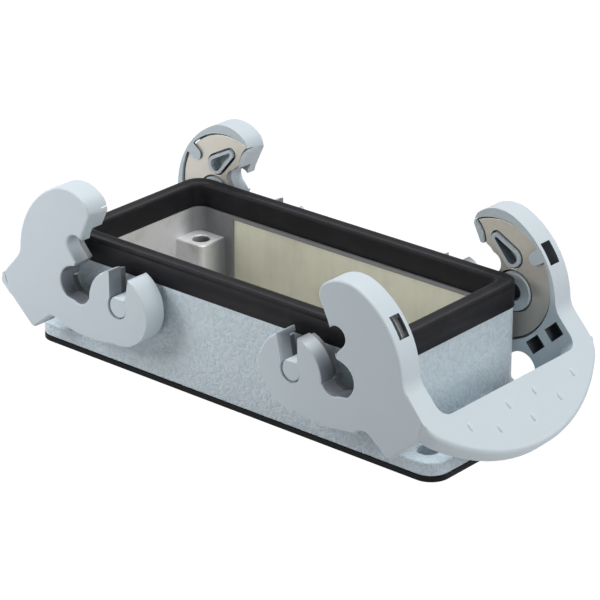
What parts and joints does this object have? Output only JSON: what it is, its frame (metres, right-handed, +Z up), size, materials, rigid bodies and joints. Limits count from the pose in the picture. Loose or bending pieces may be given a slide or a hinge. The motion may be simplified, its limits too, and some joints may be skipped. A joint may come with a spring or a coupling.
{
  "type": "heavy duty rectangular connector bulkhead housing",
  "caption": "Flanged rectangular connector housing with a rubber rim seal, insert bosses and a pivoting locking lever at each end.",
  "frame": {"origin": "bottom centre of the flange gasket", "axes": "+X along the length, +Y across it, +Z up out of the opening"},
  "size_m": [0.1402, 0.0572, 0.0427],
  "materials": {
    "hammer_paint": "blue-grey hammer powder coat",
    "seal_rubber": "matte black",
    "lever_plastic": "light grey, satin moulded",
    "cam_steel": "stamped stainless steel"
  },
  "bodies": {
    "housing": {"housing": "hammer_paint", "rim_seal": "seal_rubber", "flange_gasket": "seal_rubber"},
    "right_lever": {"right_lever": "lever_plastic", "right_front_cam_plate": "cam_steel", "right_rear_cam_plate": "cam_steel"},
    "left_lever": {"left_lever": "lever_plastic", "left_front_cam_plate": "cam_steel", "left_rear_cam_plate": "cam_steel"}
  },
  "joints": [
    {"name": "right_lever_pivot", "type": "hinge", "parent": "housing", "child": "right_lever", "pos_m": [0.0248, 0, 0.0186], "axis": [0, -1, 0], "range_deg": [0, 52]},
    {"name": "left_lever_pivot", "type": "hinge", "parent": "housing", "child": "left_lever", "pos_m": [-0.0248, 0, 0.0186], "axis": [0, 1, 0], "range_deg": [0, 52]}
  ]
}
